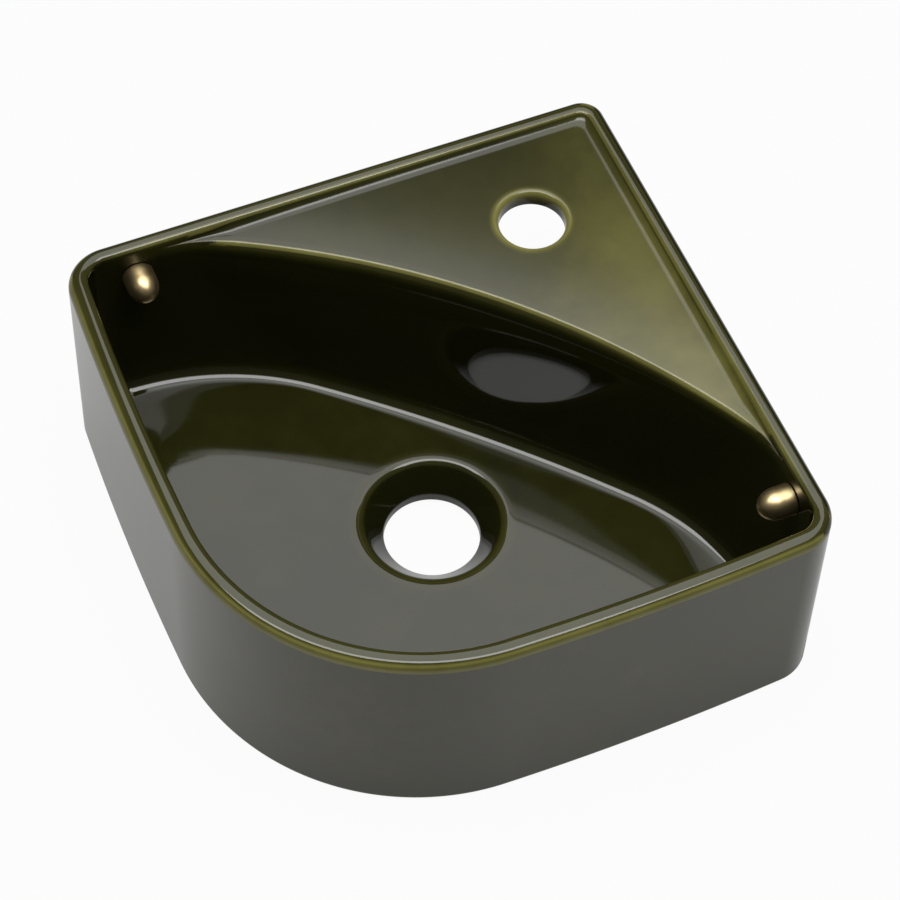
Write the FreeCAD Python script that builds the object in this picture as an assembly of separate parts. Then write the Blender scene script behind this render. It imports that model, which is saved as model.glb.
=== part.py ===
import FreeCAD, Part
import math
import os

# Wall-hung corner hand basin: a glazed ceramic body with a tap deck in the wall corner, and one
# capped wall fixing in each of its two back walls. Millimetres, +Z up. The two back walls lie square
# to +X and +Y, and the origin is at the middle of the foot, on the plane that the foot rests on.

# Plan of the ceramic body
wall_run = 300.0            # flat back wall, from the wall corner to the upright end edge
side_bulge = 5.0            # how far the two sides that face the room swell past the wall's end
side_radius = 1600.0        # slow curve of those two sides
front_radius = 131.0        # round front corner
end_radius = 23.0           # upright edge between a side and a back wall
back_radius = 12.0          # upright edge in the wall corner

# Heights and thicknesses of the ceramic body
height = 126.0
rim_width = 11.2            # skirt on the two sides that face the room, and its rim
wall_width = 9.2            # the two back walls, and their rim
rim_outer_round = 4.0
foot_round = 2.0            # outer edge of the foot
rim_inner_round = 3.8
rim_inner_share = 0.8       # at most this much of the lip's height
deck_drop = 5.0             # tap deck below the rim
deck_thickness = 10.0
lip_corner_radius = 5.0     # inner corner of the lip round the deck
deck_edge_round = 4.0       # front edge of the deck
deck_edge_share = 0.95      # at most this much of the deck's width where its tip sweep ends
bowl_wall = 10.0            # curved wall between the bowl and the hollow under the deck
floor_height = 21.0         # bowl floor where it meets the drain
floor_thickness = 10.0
floor_slope_degrees = 1.5   # fall of the floor towards the drain
floor_fillet = 11.0
floor_fillet_share = 0.9    # at most this much of the bowl's upright end corner

# Curved edge between the tap deck and the bowl
end_bay = 55.1              # wall left bare beyond each tip of the deck, up to the end edge
deck_sag = 31.7             # how far the edge bows towards the wall corner
tip_blend_radius = 30.0     # sweep of the bowl wall into each back wall

# Tap hole and drain, both on the plan's diagonal
tap_share = 0.56375         # place of the tap's axis on the deck, from the lip's corner to the front edge
tap_radius = 17.5
tap_edge_round = 3.0
tap_lower_round = 1.5
drain_bay = 36.5            # floor between the curved bowl wall and the drain's mouth
drain_mouth_radius = 36.0
drain_mouth_round = 5.0
drain_throat_radius = 25.0
drain_throat_length = 6.0
drain_lip_round = 1.5
drain_boss_wall = 9.0
drain_boss_lift = 2.0       # boss ends this far above the foot

# Underside
hollow_corner_radius = 8.0  # upright corners of the hollow under the deck
hollow_roof_fillet = 6.0
recess_roof_fillet = 5.0

# Open back, where the hollow under the deck meets the room's walls
flange_depth = 30.0         # back wall left under the rim, above the opening
opening_bay = 45.0          # back wall left whole beyond the hollow's tip
opening_round = 15.0        # upper corners of the opening

# Wall fixings, on an axis square to each back wall
fixing_drop = 19.6          # axis below the rim
fixing_bay_share = 0.39     # place in the flat bay of the wall, from the deck's end towards the end corner
fixing_hole_radius = 5.5
bush_wall = 0.8
bush_flange_thickness = 1.2
nut_head_radius = 6.0       # threaded outside for the cap
nut_head_length = 9.0
nut_thread_radius = 2.5     # tapped for the wall bolt
nut_barrel_gap = 1.0        # barrel ends short of the wall by this much
nut_slot_width = 1.6
nut_slot_depth = 2.0
cap_radius = 8.3
cap_length = 17.4
cap_nose_length = 10.6      # elliptical nose beyond the straight side
cap_base_chamfer = 0.5
cap_bore_gap = 0.6          # free space beyond the nut's head
seal_thickness = 1.2
seal_inset = 0.5            # seal set in from the cap's edge
fit_gap = 0.1               # radial clearance of pieces that slide into each other

# Allowance that carries a cut past the face that it goes through
overrun = 20.0

# Values that follow from the sizes above
UP = FreeCAD.Vector(0, 0, 1)
CENTRE = FreeCAD.Vector(0, 0, 0)
diagonal_share = math.sqrt(0.5)
overall = wall_run + side_bulge
deck_height = height - deck_drop
deck_underside = deck_height - deck_thickness
flange_underside = height - flange_depth
floor_underside = floor_height - floor_thickness
floor_slope = math.tan(math.radians(floor_slope_degrees))
nut_barrel_radius = fixing_hole_radius - bush_wall - 2 * fit_gap
nut_head_end = bush_flange_thickness + nut_head_length
cap_bore_radius = nut_head_radius + fit_gap


def plan_point(x, y):
    return FreeCAD.Vector(x, y, 0)


def mirrored(point):
    """Swap the two walls: the plan is the same on both sides of its diagonal."""
    return FreeCAD.Vector(point.y, point.x, point.z)


def toward(centre, through, radius):
    """Point of a circle on the ray from its centre through another point."""
    return centre + (through - centre).normalize() * radius


def arc(centre, radius, start, end):
    """Short arc about a centre, between the directions of two points."""
    middle = toward(centre, (start + end) * 0.5, radius)
    return Part.Arc(toward(centre, start, radius), middle, toward(centre, end, radius)).toShape()


def side_reach():
    """Distance from the wall corner to the point where a side stands furthest into the room."""
    return math.sqrt(2 * side_radius * side_bulge - side_bulge ** 2)


def side_centre():
    """Centre of the slow curve of the side that starts at the +X wall."""
    return plan_point(-side_reach(), side_radius - overall)


def front_centre():
    """Centre of the front corner, which meets both side curves smoothly."""
    side = side_centre()
    total = side.x + side.y
    spread = side.x ** 2 + side.y ** 2 - (side_radius - front_radius) ** 2
    setback = (math.sqrt(total ** 2 - 2 * spread) - total) / 2
    return plan_point(-setback, -setback)


def end_centre(room_inset, wall_inset, radius):
    """Centre of an upright end corner, between the +X wall and its side, both set in."""
    side = side_centre()
    x = -wall_inset - radius
    drop = math.sqrt((side_radius - room_inset - radius) ** 2 - (x - side.x) ** 2)
    return plan_point(x, side.y - drop)


def room_side_edges(room_inset, wall_inset):
    """Edges from the end of the +X wall, round the front, to the end of the +Y wall."""
    corner_radius = end_radius - room_inset
    side = side_centre()
    front = front_centre()
    end = end_centre(room_inset, wall_inset, corner_radius)
    wall_end = plan_point(-wall_inset, end.y)
    end_to_side = toward(side, end, side_radius - room_inset)
    side_to_front = toward(side, front, side_radius - room_inset)
    nose = toward(front, front * 2, front_radius - room_inset)
    first_half = [
        arc(end, corner_radius, wall_end, end_to_side),
        arc(side, side_radius - room_inset, end_to_side, side_to_front),
        arc(front, front_radius - room_inset, side_to_front, nose),
    ]
    second_half = [
        arc(front, front_radius - room_inset, nose, mirrored(side_to_front)),
        arc(mirrored(side), side_radius - room_inset, mirrored(side_to_front), mirrored(end_to_side)),
        arc(mirrored(end), corner_radius, mirrored(end_to_side), mirrored(wall_end)),
    ]
    return first_half + second_half, wall_end


def body_plan(room_inset, wall_inset, corner_radius):
    """Whole plan of the body, set in from its outside."""
    edges, wall_end = room_side_edges(room_inset, wall_inset)
    corner = plan_point(-wall_inset - corner_radius, -wall_inset - corner_radius)
    corner_start = plan_point(-wall_inset, corner.y)
    back_edges = [
        Part.makeLine(mirrored(wall_end), mirrored(corner_start)),
        arc(corner, corner_radius, mirrored(corner_start), corner_start),
        Part.makeLine(corner_start, wall_end),
    ]
    return Part.Face(Part.Wire(edges + back_edges))


def deck_tip():
    """Point of the +X wall's inner face where the deck runs out."""
    return plan_point(-wall_width, end_bay - wall_run)


def deck_arc():
    """Centre and radius of the curved edge between the deck and the bowl."""
    tip = deck_tip()
    half_chord = (tip - mirrored(tip)).Length / 2
    radius = (half_chord ** 2 + deck_sag ** 2) / (2 * deck_sag)
    chord_middle = (tip + mirrored(tip)) * 0.5
    offset = (radius - deck_sag) * diagonal_share
    return chord_middle - plan_point(offset, offset), radius


def drain_axis():
    """Foot of the drain's axis, on the diagonal and clear of the curved bowl wall."""
    centre, radius = deck_arc()
    setback = (centre.Length - radius + drain_bay + drain_mouth_radius) * diagonal_share
    return plan_point(-setback, -setback)


def tap_axis():
    """Foot of the tap hole's axis, on the diagonal between the lip's corner and the deck's front edge."""
    centre, radius = deck_arc()
    lip = wall_width / diagonal_share
    setback = (lip + (centre.Length - radius - lip) * tap_share) * diagonal_share
    return plan_point(-setback, -setback)


def tip_blend_centre():
    """Centre of the sweep that joins the curved bowl wall to the +X wall."""
    centre, radius = deck_arc()
    x = -wall_width - tip_blend_radius
    rise = math.sqrt((radius - tip_blend_radius) ** 2 - (x - centre.x) ** 2)
    return plan_point(x, centre.y + rise)


def bowl_plan():
    """Plan of the bowl: the room side set in by the rim, closed by the curved wall."""
    edges, wall_end = room_side_edges(rim_width, wall_width)
    centre, radius = deck_arc()
    blend = tip_blend_centre()
    blend_start = plan_point(-wall_width, blend.y)
    blend_end = toward(centre, blend, radius)
    back_edges = [
        Part.makeLine(mirrored(wall_end), mirrored(blend_start)),
        arc(mirrored(blend), tip_blend_radius, mirrored(blend_start), mirrored(blend_end)),
        arc(centre, radius, mirrored(blend_end), blend_end),
        arc(blend, tip_blend_radius, blend_end, blend_start),
        Part.makeLine(blend_start, wall_end),
    ]
    return Part.Face(Part.Wire(edges + back_edges))


def hollow_tip():
    """Point of the +X wall's inner face where the hollow under the deck runs out."""
    centre, radius = deck_arc()
    rise = math.sqrt((radius + bowl_wall) ** 2 - (wall_width + centre.x) ** 2)
    return plan_point(-wall_width, centre.y + rise)


def hollow_plan():
    """Plan of the hollow under the deck, between the back walls and the curved bowl wall."""
    centre, radius = deck_arc()
    outer_radius = radius + bowl_wall
    tip = hollow_tip()
    corner = plan_point(-wall_width, -wall_width)
    edges = [
        Part.makeLine(mirrored(tip), corner),
        Part.makeLine(corner, tip),
        arc(centre, outer_radius, tip, mirrored(tip)),
    ]
    return Part.Face(Part.Wire(edges))


def raised(face, low, high):
    """Upright solid on a plan, between two heights."""
    solid = face.extrude(UP * (high - low))
    solid.translate(UP * low)
    return solid


def level_edges(shape, level):
    """Edges of a solid that lie flat at one height."""
    chosen = []
    for edge in shape.Edges:
        box = edge.BoundBox
        if max(abs(box.ZMin - level), abs(box.ZMax - level)) < fit_gap:
            chosen.append(edge)
    return chosen


def upright_edges(shape):
    """Edges of a solid that stand parallel to Z."""
    return [edge for edge in shape.Edges if edge.BoundBox.XLength + edge.BoundBox.YLength < fit_gap]


def circle_edges(shape, axis, radius, level):
    """Round edges of a solid about an upright axis, at one radius and height."""
    chosen = []
    for edge in level_edges(shape, level):
        gap = (edge.CenterOfMass - axis - UP * level).Length
        if edge.Closed and gap < fit_gap and abs(edge.Length / (2 * math.pi) - radius) < fit_gap:
            chosen.append(edge)
    return chosen


def turned(points):
    """Solid turned about the Z axis from (radius, height) points."""
    corners = [FreeCAD.Vector(radius, 0, level) for radius, level in points]
    face = Part.Face(Part.makePolygon(corners + corners[:1]))
    return face.revolve(CENTRE, UP, 360)


def bowl_space():
    """Room inside the bowl, with its sloping floor and the fillet round the floor's edge."""
    reach = 2 * overall
    lowest = floor_height - drain_mouth_radius * floor_slope
    above_floor = turned([
        (0, lowest),
        (reach, lowest + reach * floor_slope),
        (reach, height + overrun + reach),
        (0, height + overrun + reach),
    ])
    above_floor.translate(drain_axis())
    space = raised(bowl_plan(), 0, height + overrun).common(above_floor)
    floor_edges = [edge for edge in space.Edges if edge.BoundBox.ZMax < deck_height]
    corner_limit = (end_radius - rim_width) * floor_fillet_share
    return space.makeFillet(min(floor_fillet, corner_limit), floor_edges)


def deck_space():
    """Shallow room above the tap deck, inside the lip."""
    return raised(body_plan(rim_width, wall_width, lip_corner_radius), deck_height, height + overrun)


def upper_space():
    """All that is scooped out of the body from above, with the deck's front edge rounded."""
    space = bowl_space().fuse(deck_space()).removeSplitter()
    centre, radius = deck_arc()
    front_edge = []
    for edge in level_edges(space, deck_height):
        if isinstance(edge.Curve, Part.Circle) and abs(edge.Curve.Radius - radius) < fit_gap:
            front_edge.append(edge)
    tip_width = -wall_width - toward(centre, tip_blend_centre(), radius).x
    return space.makeFillet(min(deck_edge_round, tip_width * deck_edge_share), front_edge)


def back_opening():
    """Way out of the hollow through the +X wall, below its flange and as far as the wall corner."""
    start = hollow_tip().y + opening_bay
    depth = wall_width + hollow_corner_radius
    opening = Part.makeBox(depth + overrun, overrun - start, flange_underside + overrun,
                           FreeCAD.Vector(-depth, start, -overrun))
    end_edges = [edge for edge in level_edges(opening, flange_underside) if edge.BoundBox.YMax - start < fit_gap]
    return opening.makeFillet(opening_round, end_edges)


def under_space():
    """All that is open from below and behind: the recess, the hollow under the deck and its ways out."""
    recess = raised(body_plan(rim_width, wall_width, hollow_corner_radius), -overrun, floor_underside)
    recess = recess.makeFillet(recess_roof_fillet, level_edges(recess, floor_underside))
    hollow = raised(hollow_plan(), -overrun, deck_underside)
    hollow = hollow.makeFillet(hollow_corner_radius, upright_edges(hollow))
    hollow = hollow.makeFillet(hollow_roof_fillet, level_edges(hollow, deck_underside))
    boss_radius = drain_throat_radius + drain_boss_wall
    boss = Part.makeCylinder(boss_radius, height, UP * drain_boss_lift)
    boss.translate(drain_axis())
    opening = back_opening()
    other_opening = opening.mirror(CENTRE, FreeCAD.Vector(1, -1, 0))
    return recess.cut(boss).fuse([hollow, opening, other_opening]).removeSplitter()


def drain_space():
    """Way out of the bowl: a cone down to a short round throat."""
    throat_top = drain_boss_lift + drain_throat_length
    flare = (drain_mouth_radius - drain_throat_radius) / (floor_height - throat_top)
    space = turned([
        (0, -overrun),
        (drain_throat_radius, -overrun),
        (drain_throat_radius, throat_top),
        (drain_mouth_radius + flare * overrun, floor_height + overrun),
        (0, floor_height + overrun),
    ])
    space.translate(drain_axis())
    return space


def fixing_seat():
    """Place on the inner face of the +X wall, in its flat bay and at the fixing's height."""
    bay_start = tip_blend_centre().y
    bay_end = end_centre(rim_width, wall_width, end_radius - rim_width).y
    along = bay_start + (bay_end - bay_start) * fixing_bay_share
    return FreeCAD.Vector(-wall_width, along, height - fixing_drop)


def placed(piece, seat, inward):
    """Move a piece that was made along +Z from the glaze onto a fixing's seat."""
    piece = piece.copy()
    piece.Placement = FreeCAD.Placement(seat, FreeCAD.Rotation(UP, inward.cross(UP), inward))
    return piece


def fixings():
    """Name, seat and inward direction of both wall fixings, left and right as seen from the room."""
    seat = fixing_seat()
    right_inward = FreeCAD.Vector(-1, 0, 0)
    return [
        ("left", mirrored(seat), mirrored(right_inward)),
        ("right", seat, right_inward),
    ]


def basin_body():
    body = raised(body_plan(0, 0, back_radius), 0, height)
    body = body.makeFillet(rim_outer_round, level_edges(body, height))
    body = body.makeFillet(foot_round, level_edges(body, 0))
    body = body.cut(upper_space()).cut(under_space())
    inner_rim = max(body.Faces, key=lambda face: face.BoundBox.ZMin).Wires[1:]
    rim_edges = [edge for wire in inner_rim for edge in wire.Edges]
    body = body.makeFillet(min(rim_inner_round, deck_drop * rim_inner_share), rim_edges)

    body = body.cut(drain_space())
    mouth = circle_edges(body, drain_axis(), drain_mouth_radius, floor_height)
    body = body.makeFillet(drain_mouth_round, mouth)
    lip = circle_edges(body, drain_axis(), drain_throat_radius, drain_boss_lift)
    body = body.makeFillet(drain_lip_round, lip)

    tap_hole = Part.makeCylinder(tap_radius, deck_thickness + 2 * overrun, UP * (deck_underside - overrun))
    tap_hole.translate(tap_axis())
    body = body.cut(tap_hole)
    body = body.makeFillet(tap_edge_round, circle_edges(body, tap_axis(), tap_radius, deck_height))
    body = body.makeFillet(tap_lower_round, circle_edges(body, tap_axis(), tap_radius, deck_underside))

    for side, seat, inward in fixings():
        hole = Part.makeCylinder(fixing_hole_radius, wall_width + 2 * overrun,
                                 UP * (-wall_width - overrun))
        body = body.cut(placed(hole, seat, inward))
    return body


def flanged_bush():
    """Nylon sleeve that lines the ceramic hole, with a flange on the glaze under the nut."""
    bore = nut_barrel_radius + fit_gap
    outside = fixing_hole_radius - fit_gap
    return turned([
        (bore, -wall_width),
        (outside, -wall_width),
        (outside, 0),
        (nut_head_radius, 0),
        (nut_head_radius, bush_flange_thickness),
        (bore, bush_flange_thickness),
    ])


def sleeve_nut():
    """Brass nut tapped for the wall bolt, with a slotted head that the cap screws onto."""
    nut = turned([
        (nut_thread_radius, nut_barrel_gap - wall_width),
        (nut_barrel_radius, nut_barrel_gap - wall_width),
        (nut_barrel_radius, bush_flange_thickness),
        (nut_head_radius, bush_flange_thickness),
        (nut_head_radius, nut_head_end),
        (nut_thread_radius, nut_head_end),
    ])
    slot_corner = FreeCAD.Vector(-2 * nut_head_radius, -nut_slot_width / 2, nut_head_end - nut_slot_depth)
    return nut.cut(Part.makeBox(4 * nut_head_radius, nut_slot_width, 2 * nut_slot_depth, slot_corner))


def cap_seal():
    """Rubber ring under the edge of the cap, which comes away with it."""
    inside = nut_head_radius + fit_gap
    outside = cap_radius - seal_inset
    return turned([(inside, 0), (outside, 0), (outside, seal_thickness), (inside, seal_thickness)])


def bullet_cap():
    """Brass cap with a straight side and an elliptical nose, bored to screw onto the nut's head."""
    nose_start = seal_thickness + cap_length - cap_nose_length
    bore_end = nut_head_end + cap_bore_gap
    tip = UP * (nose_start + cap_nose_length)
    shoulder = FreeCAD.Vector(cap_radius, 0, nose_start)
    nose = Part.Ellipse(tip, shoulder, UP * nose_start)
    side = Part.makePolygon([
        tip,
        UP * bore_end,
        FreeCAD.Vector(cap_bore_radius, 0, bore_end),
        FreeCAD.Vector(cap_bore_radius, 0, seal_thickness),
        FreeCAD.Vector(cap_radius - cap_base_chamfer, 0, seal_thickness),
        FreeCAD.Vector(cap_radius, 0, seal_thickness + cap_base_chamfer),
        shoulder,
    ])
    ends = sorted([nose.parameter(tip), nose.parameter(shoulder)])
    if ends[1] - ends[0] > math.pi:
        ends = [ends[1] - 2 * math.pi, ends[0]]
    curve = Part.ArcOfEllipse(nose, ends[0], ends[1]).toShape()
    return Part.Face(Part.Wire(side.Edges + [curve])).revolve(CENTRE, UP, 360)


def export(name, shape):
    """Write one piece, moved from the wall corner to the middle of the foot."""
    shape = shape.copy()
    shape.translate(plan_point(overall / 2, overall / 2))
    shape.exportStep("parts/" + name + ".step")
    print(name, shape.ShapeType, "valid", shape.isValid(), "volume", round(shape.Volume, 1))


os.makedirs("parts", exist_ok=True)
export("basin_body", basin_body())
for side, seat, inward in fixings():
    export(side + "_bush", placed(flanged_bush(), seat, inward))
    export(side + "_sleeve_nut", placed(sleeve_nut(), seat, inward))
    export(side + "_cap_seal", placed(cap_seal(), seat, inward))
    export(side + "_cap", placed(bullet_cap(), seat, inward))
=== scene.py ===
import math
import bmesh
import bpy
from mathutils import Matrix, Vector


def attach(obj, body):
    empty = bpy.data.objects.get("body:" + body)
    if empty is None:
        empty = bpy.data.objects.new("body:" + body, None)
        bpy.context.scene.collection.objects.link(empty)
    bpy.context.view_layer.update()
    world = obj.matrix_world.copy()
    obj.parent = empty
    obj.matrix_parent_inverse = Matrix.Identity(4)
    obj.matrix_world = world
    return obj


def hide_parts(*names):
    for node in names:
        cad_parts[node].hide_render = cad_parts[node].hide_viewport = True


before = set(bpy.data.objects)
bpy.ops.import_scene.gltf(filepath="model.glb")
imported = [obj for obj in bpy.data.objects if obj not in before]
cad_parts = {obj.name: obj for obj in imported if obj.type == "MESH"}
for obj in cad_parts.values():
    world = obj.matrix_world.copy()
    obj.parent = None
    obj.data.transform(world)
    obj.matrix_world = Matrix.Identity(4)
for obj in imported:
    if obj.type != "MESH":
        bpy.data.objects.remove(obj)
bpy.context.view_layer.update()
bpy.context.scene.view_settings.view_transform = "Standard"

MM = 0.001
UP = Vector((0, 0, 1))

# Sizes of the ceramic body in millimetres
HALF = 152.5
HEIGHT = 126.0
ROOM_INSET = 10.8
WALL_INSET = 9.2
SIDE_CENTRE = Vector((26.1078, 1447.5))
SIDE_RADIUS = 1600.0
FRONT_CENTRE = Vector((-20.7524, -20.7524))
FRONT_RADIUS = 131.0
END_RADIUS = 23.0
CORNER_ROUND = 12.0
CORNER_SHRINK = 0.76
DRAIN = Vector((-3.4, -3.4))
THROAT_RADIUS = 25.4
MOUTH_RADIUS = 37.4
MOUTH_MARGIN = 8.0
TAP = Vector((89.5, 89.5))
TAP_RADIUS = 17.5
TAP_CLEARING = 28.0
FLOOR_HEIGHT = 22.3
FLOOR_SLOPE = math.tan(math.radians(0.45))
FLOOR_FILLET = 10.6
FILLET_SWEEP = 78
RIM_OUTER_ROUND = 4.0
RIM_INNER_ROUND = 3.6
RIM_CROWN = 16.0
ROOM_CREST = ROOM_INSET - RIM_INNER_ROUND
WALL_CREST = 4.3
FOOT_ROUND = 2.0

# The hollow under the deck, the open backs behind it and the fixing holes
HOLLOW_CENTRE = Vector((-273.1449, -273.1449))
HOLLOW_RADIUS = 463.977
HOLLOW_ROUND = 8.0
HOLLOW_ROOF = 111.0
HOLLOW_ROOF_ROUND = 6.0
HOLLOW_OVERLAP = 0.15
FLANGE_UNDERSIDE = 96.0
OPENING_START = -23.57
OPENING_FACE = 135.3
OPENING_ROUND = 15.0
CUTTER_OVERSHOOT = 20.0
FIXING_ALONG = -109.3619
FIXING_HEIGHT = 106.4
FIXING_HOLE = 5.5
SEATS = {
    "left": (Vector((FIXING_ALONG, HALF - WALL_INSET, FIXING_HEIGHT)), Vector((0, -1, 0))),
    "right": (Vector((HALF - WALL_INSET, FIXING_ALONG, FIXING_HEIGHT)), Vector((-1, 0, 0))),
}

# The curved wall between deck and bowl leans back: (height, middle of the curve on the diagonal)
CURVED_WALL = [(30.3, 59.6), (36, 60.3), (42, 61.0), (49, 61.7), (57, 62.4), (67, 63.3), (77, 64.3),
               (87, 65.3), (97, 66.4), (103, 67.2), (108, 68.2), (112, 69.3), (115, 70.4), (117, 71.4),
               (118, 72.1)]
WALL_FOOT, WALL_TOP = CURVED_WALL[0][0], CURVED_WALL[-1][0]
FOOT_CURVE_RADIUS, TOP_CURVE_RADIUS = 1000.0, 470.0
FOOT_SWEEP, TOP_SWEEP = 150.0, 60.0

# The other bowl walls are upright by the fixings and lean in below them
UPRIGHT_ABOVE = 99.0
LEAN_ROUND = 10.0
WALL_LEAN = 0.09

# Front edge of the deck, from the wall's top up to the deck: (radius, first tilt, last tilt)
EDGE_TURNS = [(3.3, 65, 14), (16.0, 14, 2.9)]
DECK_FRONT = 120.1
DECK_RISE = 0.004
ROLL_DEPTH, ROLL_LENGTH = 1.3, 28.0

# The lip between rim and deck
LIP_WIDTH = 9.6
BAY_WIDTH = WALL_INSET - WALL_CREST
LIP_CREST_ROUND, LIP_CREST_TILT = 10.0, 14
LIP_SHOULDER_ROUND = 3.27

# Outside of the body from the rim down, then the recess under the floor and the drain's boss
OUTSIDE_LEVELS = (119.8, 118, 114, 106, 90, 60, 30, 12, 5, 2.6)
RECESS = ((10.2, 0), (10.7, 0.25), (11.0, 0.8), (11.0, 1.2), (11.0, 5.6), (11.0, 6.0), (11.4, 7.9),
          (12.5, 9.5), (14.1, 10.6), (16.0, 11.0), (16.4, 11.0))
RECESS_ROOF = 11
BOSS = ((37.5, 11), (35.5, 10.4), (34.4, 9.0), (34, 7.5), (34, 3.2), (33.7, 2.3), (33, 2))

# How many points each stretch of the plan gets, from the wall corner round to the front
CORNER_STEPS = 8
CORNER_SHARE = 0.05
BACK_STEPS = 86
BAY_STEPS = 10
END_STEPS = 22
SIDE_STEPS = 36
FRONT_STEPS = 36

# How many rings each stretch of the section gets
FLOOR_STEPS = 14
FILLET_STEPS = 13
EDGE_STEPS = 8
TURN_STEPS = 6
ROUND_RINGS = 12
DECK_SHARES = [0.01, 0.03, 0.06] + [0.1 + 0.028 * i for i in range(30)] + [0.94, 0.97, 0.99]
CROWN_SHARES = (0.9, 0.7, 0.5, 0.3, 0.1)


def line(start, end, steps):
    return [start.lerp(end, i / steps) for i in range(steps)]


def on_circle(centre, radius, angle):
    return centre + radius * Vector((math.cos(angle), math.sin(angle)))


def arc(centre, radius, start, end, steps):
    """Points of the short arc between the directions of two points, without its last one."""
    first = math.atan2(start.y - centre.y, start.x - centre.x)
    last = math.atan2(end.y - centre.y, end.x - centre.x)
    turn = (last - first + math.pi) % (2 * math.pi) - math.pi
    return [on_circle(centre, radius, first + turn * i / steps) for i in range(steps)]


def room_flank(room_inset, wall_inset, radius):
    """End of the +X wall, and the plan from there round the end corner and the side to the nose."""
    reach = SIDE_RADIUS - room_inset
    x = HALF - wall_inset - radius
    drop = math.sqrt((reach - radius) ** 2 - (x - SIDE_CENTRE.x) ** 2)
    end = Vector((x, SIDE_CENTRE.y - drop))
    wall_end = Vector((HALF - wall_inset, end.y))
    side_end = SIDE_CENTRE + (FRONT_CENTRE - SIDE_CENTRE).normalized() * reach
    nose = on_circle(FRONT_CENTRE, FRONT_RADIUS - room_inset, math.radians(-135))
    flank = arc(end, radius, wall_end, end + (end - SIDE_CENTRE), END_STEPS)
    flank += arc(SIDE_CENTRE, reach, end, side_end, SIDE_STEPS)
    flank += arc(FRONT_CENTRE, FRONT_RADIUS - room_inset, side_end, nose, FRONT_STEPS)
    return wall_end, flank + [nose]


def wall_lean(height):
    """How far the other bowl walls have come in at a height."""
    below = max(0.0, UPRIGHT_ABOVE - height)
    if below < LEAN_ROUND:
        return WALL_LEAN * (below * below / (2 * LEAN_ROUND))
    return WALL_LEAN * (below - LEAN_ROUND / 2)


def curved_wall(height):
    """Centre and radius of the curved wall at a height, and of its sweep into the +X wall."""
    middle = CURVED_WALL[-1][1]
    for (low, start), (high, end) in zip(CURVED_WALL, CURVED_WALL[1:]):
        if height <= high:
            middle = start + (end - start) * max(0.0, (height - low) / (high - low))
            break
    share = min(1.0, max(0.0, (height - WALL_FOOT) / (WALL_TOP - WALL_FOOT)))
    radius = 1 / (1 / FOOT_CURVE_RADIUS + (1 / TOP_CURVE_RADIUS - 1 / FOOT_CURVE_RADIUS) * share)
    sweep = FOOT_SWEEP + (TOP_SWEEP - FOOT_SWEEP) * share
    centre = Vector((1, 1)) * (middle - radius) * math.sqrt(0.5)
    x = HALF - WALL_INSET - wall_lean(height) - sweep
    rise = math.sqrt((radius - sweep) ** 2 - (x - centre.x) ** 2)
    return centre, radius, Vector((x, centre.y + rise)), sweep


TOP_CENTRE, TOP_RADIUS, TIP, _ = curved_wall(WALL_TOP)
BAY_START = TIP.y


def wall_point(step, inset):
    """Point of the plan along the +X wall, counted from the wall corner."""
    radius = CORNER_ROUND - CORNER_SHRINK * min(inset, WALL_INSET)
    centre = HALF - inset - radius
    if step < CORNER_STEPS:
        angle = math.radians(45 * (1 - step / CORNER_STEPS))
        return on_circle(Vector((centre, centre)), radius, angle)
    left = 1 - (step - CORNER_STEPS) / (BACK_STEPS - CORNER_STEPS)
    return Vector((HALF - inset, BAY_START + (centre - BAY_START) * left * (0.65 + 0.35 * left)))


def rim_flank(room_inset, wall_inset):
    """Half of the body's plan, set in from its outside."""
    wall_end, room = room_flank(room_inset, wall_inset, END_RADIUS - room_inset)
    back = [wall_point(step, wall_inset) for step in range(BACK_STEPS)]
    return back + line(Vector((wall_end.x, BAY_START)), wall_end, BAY_STEPS) + room


def bowl_flank(height, inset=0.0):
    """Half of the bowl's plan at a height, set in from its wall."""
    lean = wall_lean(height) + inset
    wall_end, room = room_flank(ROOM_INSET + lean, WALL_INSET + lean, END_RADIUS - ROOM_INSET - inset)
    centre, radius, end, sweep = curved_wall(height)
    heading = math.atan2(end.y - centre.y, end.x - centre.x)
    arc_length = radius * (math.radians(45) - heading)
    length = arc_length + sweep * heading
    back = []
    for step in range(BACK_STEPS):
        share = CORNER_SHARE * step / CORNER_STEPS
        if step > CORNER_STEPS:
            share = CORNER_SHARE + (1 - CORNER_SHARE) * (step - CORNER_STEPS) / (BACK_STEPS - CORNER_STEPS)
        run = share * length
        if run < arc_length:
            back.append(on_circle(centre, radius - inset, math.radians(45) - run / radius))
        else:
            back.append(on_circle(end, sweep - inset, heading - (run - arc_length) / sweep))
    return back + line(Vector((wall_end.x, end.y)), wall_end, BAY_STEPS) + room


def ring(flank, heights):
    """Whole ring of points from half a plan, mirrored about the diagonal."""
    if not isinstance(heights, list):
        heights = [heights] * len(flank)
    half = [Vector((p.x, p.y, z)) for p, z in zip(flank, heights)]
    return half + [Vector((p.y, p.x, p.z)) for p in reversed(half[1:-1])]


def rounded(corners, fineness=8):
    """Profile through corners (radius, height, round), each corner turned by an arc."""
    points = []
    for i, (r, z, turn) in enumerate(corners):
        here = Vector((r, z))
        if turn == 0 or i in (0, len(corners) - 1):
            points.append(here)
            continue
        before = (Vector(corners[i - 1][:2]) - here).normalized()
        after = (Vector(corners[i + 1][:2]) - here).normalized()
        half_angle = before.angle(after) / 2
        setback = turn / math.tan(half_angle)
        centre = here + (before + after).normalized() * turn / math.sin(half_angle)
        points += arc(centre, turn, here + before * setback, here + after * setback, fineness)
        points.append(here + after * setback)
    return points


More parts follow.
